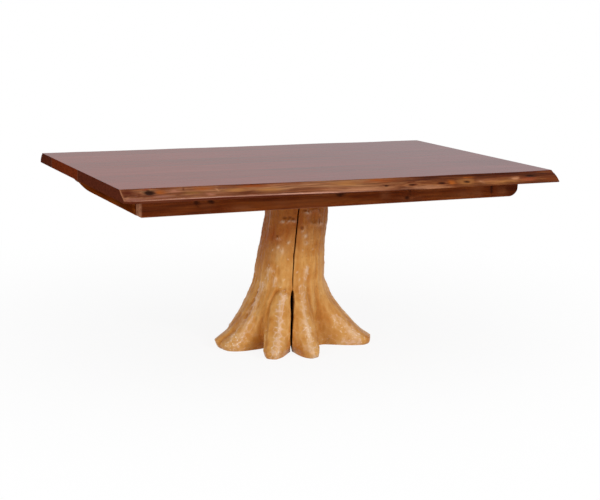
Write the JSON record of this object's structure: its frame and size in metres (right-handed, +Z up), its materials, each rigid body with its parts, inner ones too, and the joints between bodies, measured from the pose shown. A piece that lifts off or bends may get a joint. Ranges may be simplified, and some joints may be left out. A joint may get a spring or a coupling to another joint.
{
  "type": "rustic pedestal dining table",
  "caption": "Rectangular dining table: glued plank top with live edges, apron rails and cross battens, carried by a root-flared tree stump through a steel plate.",
  "frame": {"origin": "middle of the table on the floor, under the centre of the top", "axes": "+X along the top's length, -Y the front live edge seen in the picture, +Z up"},
  "size_m": [1.829, 1.219, 0.762],
  "materials": {
    "top_wood": "stained and varnished, glossy",
    "apron_wood": "dark red-brown stain, satin varnish",
    "frame_wood": "stained, not polished",
    "plate_steel": "black powder coat",
    "screw_steel": "zinc plated",
    "stump_wood": "peeled, sanded and varnished, satin"
  },
  "bodies": {
    "root": {"top_plank_front_live_edge": "top_wood", "top_plank_2": "top_wood", "top_plank_3": "top_wood", "top_plank_4": "top_wood", "top_plank_5": "top_wood", "top_plank_back_live_edge": "top_wood", "rail_front": "apron_wood", "rail_back": "apron_wood", "end_rail_left": "apron_wood", "end_rail_right": "apron_wood", "batten_left": "frame_wood", "batten_inner_left": "frame_wood", "batten_inner_right": "frame_wood", "batten_right": "frame_wood", "corner_block_front_left": "frame_wood", "corner_block_front_right": "frame_wood", "corner_block_back_right": "frame_wood", "corner_block_back_left": "frame_wood", "pedestal_plate": "plate_steel", "lag_screws": "screw_steel", "plate_screws": "screw_steel", "batten_screws": "screw_steel", "stump_pedestal": "stump_wood"}
  },
  "joints": []
}
